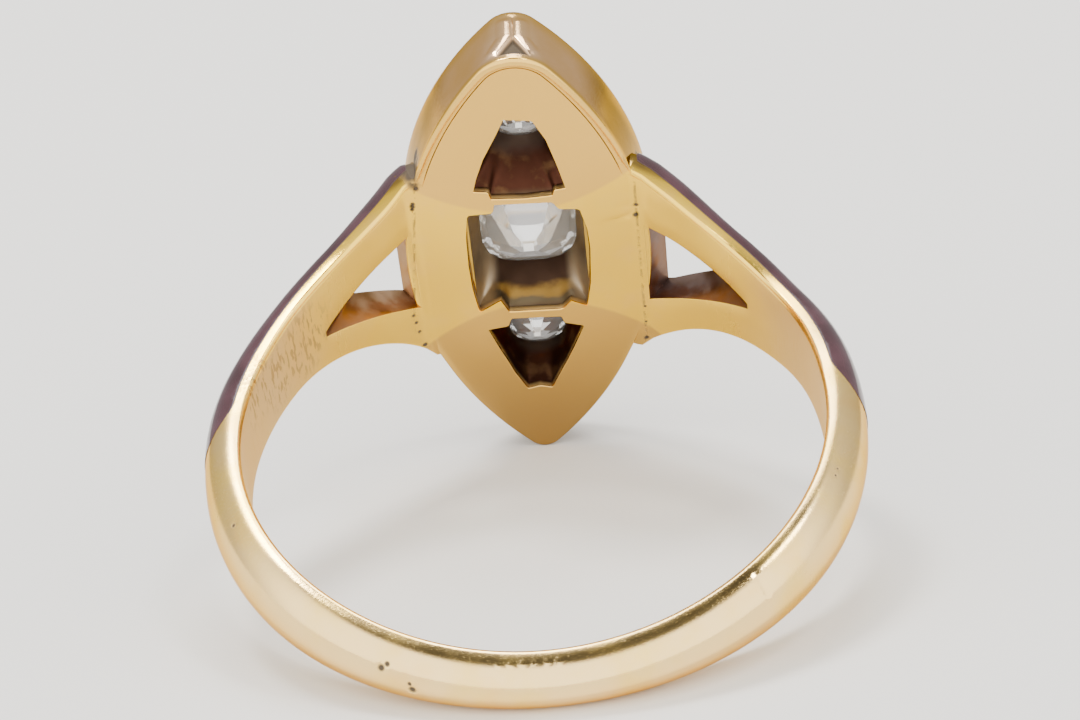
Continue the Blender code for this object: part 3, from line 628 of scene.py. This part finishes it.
RIM = 0.26                                     # inset of the plate inside the walls
SEAM = ((RIM + 0.035, 0.0), (RIM + 0.02, 0.05), (RIM + 0.005, 0.05), (RIM, 0.004))
SEAM_SHOWN, FILED_LOW = (3.0, 3.9), (3.6, 4.4)
ROUND = [radians(a) for a in (15, 35, 55, 72, 90)]
ROUND_REACH = (0.05, 0.21, 0.1)                # beside, above and below the shoulders
ROUND_DROP = (0.04, 0.12, 0.08)
WALL = [(0.0, 8.3 + 2.3 * i / 20.0) for i in range(21)]
WALL += [(0.03, 10.67), (0.1, FRONT), (0.36, FRONT), (0.42, FRONT - 0.04), (0.42, FRONT - 0.3)]


def outside_spot(row, step):
    """The seam and the rounded rim show above the shoulders, and are filed flat beside them."""
    height = head_edge(step, BACK, 0.0).z
    shown = ease(between(height, *SEAM_SHOWN))
    if row < len(SEAM):
        inset, depth = SEAM[row]
        return head_edge(step, BACK + depth * shown, inset)
    if row < len(SEAM) + len(ROUND):
        a = ROUND[row - len(SEAM)]
        low = ease(between(-height, *FILED_LOW))
        reach = ROUND_REACH[0] + ROUND_REACH[1] * shown + ROUND_REACH[2] * low
        drop = ROUND_DROP[0] + ROUND_DROP[1] * shown + ROUND_DROP[2] * low
        return head_edge(step, BACK + drop * (1.0 - cos(a)), reach * (1.0 - sin(a)))
    inset, depth = WALL[row - len(SEAM) - len(ROUND)]
    return head_edge(step, depth, inset)


# the pierced openings' corners, across and up from the head's middle
UPPER_HOLE = ((-0.41, 5.56), (0.45, 5.45), (0.82, 4.68), (1.09, 3.67), (1.31, 2.70),
              (0.95, 2.66), (0.88, 2.44), (0.0, 2.38), (-1.0, 2.44), (-1.08, 2.72),
              (-1.53, 2.78), (-1.4, 3.3), (-1.13, 4.06), (-0.66, 5.0))
MIDDLE_HOLE = ((-0.93, 2.24), (0.87, 2.2), (1.04, 1.91), (1.68, 1.86), (1.88, 1.0), (1.93, 0.2),
               (1.87, -1.2), (1.71, -2.21), (1.21, -1.95), (0.91, -2.3), (-0.77, -2.28),
               (-1.02, -1.76), (-1.72, -2.21), (-1.86, -1.2), (-1.91, -0.2), (-1.89, 1.0),
               (-1.79, 1.87), (-1.0, 1.9))
LOWER_HOLE = ((-1.49, -2.97), (-0.85, -2.86), (-0.73, -2.54), (0.86, -2.58), (0.94, -2.86),
              (1.55, -3.04), (1.25, -3.8), (0.92, -4.6), (0.38, -5.7), (0.0, -5.6),
              (-0.41, -5.7), (-0.78, -4.97), (-1.2, -3.8))
SEATS = ((MIDDLE_HOLE, 1.62, 2.9, 1.7, 0.0),   # half the stone, its squareness, depth and height
         (UPPER_HOLE, 1.02, 2.2, 1.92, 4.38), (LOWER_HOLE, 1.02, 2.2, 1.92, -4.38))
GIRDLE, LEDGE, LIP, STONE_GAP = 0.08, 0.1, 0.08, 0.04
PAVILION_RISE, CROWN_RISE = 0.8391, 0.8098     # the stones' slopes
COLLET_RISE, FLOOR = 0.1, FRONT - 0.3
HOLE_STEPS, FUNNEL_ROWS = 120, 6
HOLE_EDGE = ((0.0, 0.0), (0.01, 0.01), (0.03, 0.05), (0.04, 0.26), (-0.05, 0.3))
UNDERCUT, PLATE = -HOLE_EDGE[-1][0], HOLE_EDGE[-1][1]
SOFTENED = 0.05
COLLET = ((0.04, -0.02), (0.08, 0.0), (0.24, 0.0), (0.31, -0.02), (0.34, -0.08))  # past stone, rim
DARK_FROM, DARK_TO = BACK + 0.06, FRONT - 0.4
DARK_HALF, DARK_RISE = 1.95, 5.9


def along(outline, share, soft=0.0):
    """A point at a share of the way round an outline, whose corners may be softened."""
    if soft > 0.0:
        spots = [along(outline, (share + soft * i / 4.0) % 1.0) for i in range(-4, 5)]
        return sum(spots, Vector((0.0, 0.0))) / len(spots)
    points = [Vector(p) for p in outline]
    runs = [(b - a).length for a, b in zip(points, points[1:] + points[:1])]
    left = share * sum(runs)
    for a, b, run in zip(points, points[1:] + points[:1], runs):
        if left <= run:
            return a.lerp(b, left / run)
        left -= run
    return points[0]


def seat_round(size, angle, power, rise):
    """A place on a rounded square round a stone's middle."""
    reach = size / (abs(cos(angle)) ** power + abs(sin(angle)) ** power) ** (1.0 / power)
    return Vector((reach * cos(angle), rise + reach * sin(angle)))


WALL_REDDISH, WALL_BROWNISH = (0.06, 0.022, 0.013, 1.0), (0.13, 0.065, 0.03, 1.0)
DEEP_GREY = (0.09, 0.06, 0.045, 1.0)
NEAR_OLIVE, AMBER_PAINTED_HIGHLIGHT = (0.10, 0.075, 0.042, 1.0), (0.24, 0.14, 0.035, 1.0)
DEEP_PAINTED_SHADOW, SIDE_OLIVE = (0.045, 0.025, 0.016, 1.0), (0.31, 0.24, 0.155, 1.0)
EDGE_GOLD, GLANCING_DARK = (0.62, 0.40, 0.15, 1.0), (0.50, 0.36, 0.24, 1.0)

# painted shade in the openings: the walls are coloured dark, with a painted amber highlight across
# the middle opening and painted shadow deeper in; the plate's cut edge keeps its gold
hole_walls_painted_shade, tree, shader = new_finish("painted_shade_hole_walls")
place = ring_place(tree)
x, y, z = split(tree, place)
blotch = noise(tree, place, 1.3, 4.0)
height = maths(tree, "SUBTRACT", z, HEAD_RISE)
across = maths(tree, "ABSOLUTE", x)
far = plus(tree, y, span(tree, blotch, 0.3, 0.7, -0.06, 0.06))
ends = mix_tint(tree, span(tree, blotch, 0.5, 0.68), WALL_REDDISH, WALL_BROWNISH)
ends = mix_tint(tree, span(tree, far, 9.3, 9.7), ends, DEEP_GREY)
centre = mix_tint(tree, span(tree, far, 8.6, 8.74), NEAR_OLIVE, AMBER_PAINTED_HIGHLIGHT)
centre = mix_tint(tree, span(tree, far, 8.82, 9.1), centre, DEEP_PAINTED_SHADOW)
centre = mix_tint(tree, span(tree, across, 1.0, 1.45), centre, SIDE_OLIVE)
at_end = span(tree, maths(tree, "ABSOLUTE", height), 2.2, 2.5)
tint = mix_tint(tree, at_end, centre, ends)
tint = mix_tint(tree, span(tree, y, 8.2, 8.36, 0.85, 0.0), tint, EDGE_GOLD)
tree.links.new(tint, shader.inputs["Base Color"])
shader.inputs["Metallic"].default_value = 1.0
shader.inputs["Specular Tint"].default_value = GLANCING_DARK
tree.links.new(span(tree, blotch, 0.3, 0.7, 0.42, 0.6), shader.inputs["Roughness"])

bm = bmesh.new()
add_net(bm, len(SEAM) + len(ROUND) + len(WALL), HEAD_STEPS)
plate_edges, floor_edges = draw_net(bm, HEAD_STEPS, outside_spot)
for outline, half, power, girdle, rise in SEATS:
    girdle += BACK
    ledge = girdle - LEDGE * PAVILION_RISE - STONE_GAP
    lip = girdle + GIRDLE + LIP * CROWN_RISE + STONE_GAP
    rim = FRONT + COLLET_RISE
    rounds = [(half - LEDGE, ledge), (half + STONE_GAP, ledge + 0.001), (half + STONE_GAP, lip),
              (half - LIP, lip + LIP)]
    rounds += [(half + past_stone, rim + up) for past_stone, up in COLLET]
    rounds.append((half + COLLET[-1][0], FLOOR))

    def seat_place(row, step):
        """The plate's pierced edge, the walls that narrow to the ledge, and the collet."""
        beyond = row - len(HOLE_EDGE) + 1
        soft = SOFTENED * beyond / FUNNEL_ROWS if beyond > 0 else 0.0
        p = along(outline, step / HOLE_STEPS, soft)
        inward = (Vector((0.0, rise)) - p).normalized()
        angle = atan2(p.y - rise, p.x)
        if beyond <= 0:
            inset, depth = HOLE_EDGE[row]
            p = p + inward * inset
            return Vector((p.x, BACK + depth, p.y))
        if beyond <= FUNNEL_ROWS:
            share = beyond / (FUNNEL_ROWS + 1.0)
            p = (p - inward * UNDERCUT).lerp(seat_round(half - LEDGE, angle, power, rise), share)
            return Vector((p.x, BACK + PLATE + (ledge - BACK - PLATE) * share, p.y))
        size, depth = rounds[beyond - FUNNEL_ROWS - 1]
        p = seat_round(size, angle, power, rise)
        return Vector((p.x, depth, p.y))

    add_net(bm, len(HOLE_EDGE) + FUNNEL_ROWS + len(rounds), HOLE_STEPS)
    hole, foot = draw_net(bm, HOLE_STEPS, seat_place)
    plate_edges += hole
    floor_edges += foot
bmesh.ops.triangle_fill(bm, use_beauty=True, edges=plate_edges, normal=(0, -1, 0))
bmesh.ops.triangle_fill(bm, use_beauty=True, edges=floor_edges, normal=(0, 1, 0))
bmesh.ops.recalc_face_normals(bm, faces=bm.faces)
# faces deep inside the openings take the painted shade
for face in bm.faces:
    c = face.calc_center_median()
    if DARK_FROM < c.y < DARK_TO and abs(c.x) < DARK_HALF and abs(c.z) < DARK_RISE:
        face.material_index = 1

# the upper tip is pinched in behind the plate's edge, with a ridge on each side and a crease above
TIP_REACH, TIP_HEIGHT, TIP_DEPTHS = 0.8, 7.0, (8.3, 10.4)
PINCH_MOUTH, PINCH_END, PINCH_SPREAD, PINCH_MIDDLE = 8.47, 9.36, 0.58, 0.05
PINCH_DEPTH, RIDGE_WIDTH, RIDGE_HEIGHT = 0.16, 0.26, 0.055
PINCH_EDGE, RIDGE_FROM, RIDGE_TOP = (-0.03, 0.13), (8.45, 8.7), 10.4
CREASE_HALF, CREASE_SOFT, CREASE_MIDDLE, CREASE_CUT = 0.05, 0.04, 0.02, 0.03
CREASE_FROM, CREASE_TOP, TOP_FADE = (9.15, 9.4), 10.2, 0.3
SEAM_GRIME, CREASE_GRIME, PIT_SHADE_EDGE = 0.5, 0.7, (-0.01, 0.06)
SEAM_RISE, SEAM_HALF = 0.05, 0.012


def at_tip(co):
    """Whether a place is on the wall of the upper tip."""
    return abs(co.x) < TIP_REACH and TIP_DEPTHS[0] < co.y < TIP_DEPTHS[1] and co.z > TIP_HEIGHT


tip_edges = [e for e in bm.edges if all(at_tip(v.co) for v in e.verts)]
bmesh.ops.subdivide_edges(bm, edges=tip_edges, cuts=3, use_grid_fill=True)
seam_grime_and_pit_shade = bm.verts.layers.float.new("seam_grime_and_pit_shade")
for v in bm.verts:
    x, y, z = v.co
    in_seam = abs(y - BACK - SEAM_RISE) < SEAM_HALF and (abs(x) > 2.0 or abs(z) > 6.0)
    v[seam_grime_and_pit_shade] = SEAM_GRIME if in_seam else 0.0
    if at_tip(v.co):
        lip = (y - PINCH_MOUTH) * 2.0
        if y > PINCH_MOUTH:
            lip = PINCH_SPREAD * max(PINCH_END - y, 0.0) - abs(x - PINCH_MIDDLE)
        crease = ease((CREASE_HALF - abs(x - CREASE_MIDDLE)) / CREASE_SOFT)
        crease = crease * ease(between(y, *CREASE_FROM)) * ease((CREASE_TOP - y) / TOP_FADE)
        ridge = max(1.0 - ((lip + RIDGE_WIDTH) / RIDGE_WIDTH) ** 2, 0.0)
        ridge = ridge * ease(between(y, *RIDGE_FROM)) * ease((RIDGE_TOP - y) / TOP_FADE)
        sunk = PINCH_DEPTH * ease(between(lip, *PINCH_EDGE))
        v.co.z += RIDGE_HEIGHT * ridge - sunk - CREASE_CUT * crease
        # the seam and the crease take dark grime; the sunk pinch is darkened as painted shade
        v[seam_grime_and_pit_shade] = max(ease(between(lip, *PIT_SHADE_EDGE)), CREASE_GRIME * crease, v[seam_grime_and_pit_shade])
bmesh.ops.transform(bm, matrix=LAY.inverted() @ HEAD, verts=bm.verts)
for spot, size in JOINT_PITS:
    press_pit(bm, spot, size, JOINT_PIT_DEPTH * size, (0.0, 1.0, 0.0))
head = make_piece("head", bm, (gold, hole_walls_painted_shade))
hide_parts("gold_mount")

# Shoulder enamel. A plum glass layer fired into the outer face of each shoulder, ending in a
# rounded point on the band and parted by the window. A narrow edge of gold is left all round it.

DEEP_PLUM, PALE_PLUM = (0.034, 0.012, 0.015, 1.0), (0.058, 0.022, 0.028, 1.0)
BORDER_BROWN = (0.06, 0.03, 0.018, 1.0)
ENAMEL_MARGIN, ENAMEL_REACH, ENAMEL_DEPTH, HEAD_GAP = 0.17, 0.9965, 0.2, 0.2
LIFT, ARM_LIFT = 0.016, 0.026                  # above the gold, and more at the head
TIP_ROW, SPREAD_ROW, WINDOW_ROW, FOOT_ROW, LAST_ROW = 88.9, 100.0, APEX - 1.2, FOOT + 1.2, 165.0
ENAMEL_STEPS, ENAMEL_LANES, FORK_STEP = 78, len(OUT_LANES) - 1, 44
ROWS = [(TIP_ROW, 0), (SPREAD_ROW, 14), (WINDOW_ROW, FORK_STEP), (FOOT_ROW, 72),
        (LAST_ROW, ENAMEL_STEPS)]
ARM_HEIGHT, ARM_DEPTH, ARM_RADIUS = 2.2, 9.5, 10.1      # roughly where the arms meet the head
DEEPEST, STEEPEST, END_ROUNDS = 10.5, 0.9, 4

plum, tree, shader = new_finish("plum_enamel")
place = ring_place(tree)
cloudy = noise(tree, place, 0.9, 4.0)
tint = mix_tint(tree, span(tree, cloudy, 0.3, 0.7), DEEP_PLUM, PALE_PLUM)
border = node(tree, "Attribute", [("attribute_name", "border")], give="Fac")
tint = mix_tint(tree, span(tree, border, 0.1, 0.9), tint, BORDER_BROWN)
tree.links.new(tint, shader.inputs["Base Color"])
gloss = span(tree, noise(tree, place, 5.0, 4.0), 0.4, 0.7, 0.1, 0.2)
tree.links.new(plus(tree, gloss, times(tree, border, 0.4)), shader.inputs["Roughness"])
relief = noise(tree, place, 2.2, 3.0)
ripples = node(tree, "Bump", Strength=0.4, Distance=0.000006, Height=relief)
tree.links.new(ripples, shader.inputs["Normal"])


def enamel_row(step):
    """Place along the band of a step; the first steps are close together at the point."""
    for (row, first), (next_row, last) in zip(ROWS, ROWS[1:]):
        if step <= last:
            part = between(step, first, last)
            return row + (next_row - row) * (part * part if first == 0 else part)
    return LAST_ROW


def enamel_end(side, q):
    """Where a lane of the enamel stops, a small gap short of the head's wall."""
    end = 180.0 - degrees(asin((head_half(ARM_HEIGHT, ARM_DEPTH) + HEAD_GAP) / ARM_RADIUS))
    for _ in range(END_ROUNDS):
        share = lane_share(q, *window_edges(end, FOOT, side, ENAMEL_MARGIN), ENAMEL_REACH)
        radius = outer_radius(end, FOOT, side, share)
        height = share * half_width(end) + middle(end, side)
        half = head_half(height - HEAD_RISE, min(-radius * cos(radians(end)), DEEPEST))
        end = 180.0 - degrees(asin(min((half + HEAD_GAP) / radius, STEEPEST)))
    return end


def enamel_spot(row, side, q):
    """A place on the enamel's face, which is rounded off at its point and parted by the window."""
    turn, window_row = outer_turn(row, q), min(row, FOOT)
    if row > FOOT:
        start = outer_turn(FOOT_ROW, q)
        end = max(enamel_end(side, q), start + 0.3)
        turn = start + (end - start) * between(row, FOOT_ROW, LAST_ROW)
    left = min(max(between(SPREAD_ROW - turn, 0.0, SPREAD_ROW - TIP_ROW), 0.0), 0.9999)
    reach = ENAMEL_REACH * (1.0 - left**3) ** (1.0 / 3.0)
    share = lane_share(q, *window_edges(turn, window_row, side, ENAMEL_MARGIN), reach)
    lift = LIFT + ARM_LIFT * ease(between(row, FOOT - 4.0, FOOT + 4.0))
    radius = outer_radius(turn, window_row, side, share) + lift
    return at(radius, turn, side, share * half_width(turn))


for name, side in (("enamel_left", -1.0), ("enamel_right", 1.0)):
    bm = bmesh.new()
    bmesh.ops.create_grid(bm, x_segments=ENAMEL_STEPS, y_segments=ENAMEL_LANES, size=1.0)
    gone = []
    for face in bm.faces:
        c = face.calc_center_median()
        step, lane = (c.x + 1.0) * ENAMEL_STEPS / 2.0, (c.y + 1.0) * ENAMEL_LANES / 2.0
        if step > FORK_STEP and first_out < lane < last_out:
            gone.append(face)
    bmesh.ops.delete(bm, geom=gone, context="FACES")
    border = bm.verts.layers.float.new("border")
    for vertex in bm.verts:
        x, y, _ = vertex.co
        step, lane = (x + 1.0) * ENAMEL_STEPS / 2.0, (y + 1.0) * ENAMEL_LANES / 2.0
        vertex[border] = float(vertex.is_boundary)
        vertex.co = enamel_spot(enamel_row(step), side, OUT_LANES[round(lane)])
    bm.normal_update()
    if sum(f.normal.x for f in bm.faces) * side < 0.0:
        bmesh.ops.reverse_faces(bm, faces=bm.faces)
    bmesh.ops.solidify(bm, geom=bm.faces[:], thickness=ENAMEL_DEPTH)
    enamel = make_piece("shoulder_" + name, bm, (plum,))
    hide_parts(name)

# Front enamel and stones. The floor of the front is filled with the same plum enamel round the
# collets. The stones are old-cut, held by gold pressed over their edges.

CLEAR_STONE, STONE_ROUGHNESS, STONE_IOR, STONE_CLEARNESS = (0.95, 0.95, 0.93, 1.0), 0.02, 2.2, 0.8

front_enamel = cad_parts["enamel_plaque"]
front_enamel.data.materials.clear()
front_enamel.data.materials.append(plum)

diamond, tree, shader = new_finish("old_cut_diamond")
shader.inputs["Base Color"].default_value = CLEAR_STONE
shader.inputs["Roughness"].default_value = STONE_ROUGHNESS
shader.inputs["IOR"].default_value = STONE_IOR
shader.inputs["Transmission Weight"].default_value = STONE_CLEARNESS
for name in ("diamond_centre", "diamond_upper", "diamond_lower"):
    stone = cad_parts[name]
    stone.data.materials.clear()
    stone.data.materials.append(diamond)
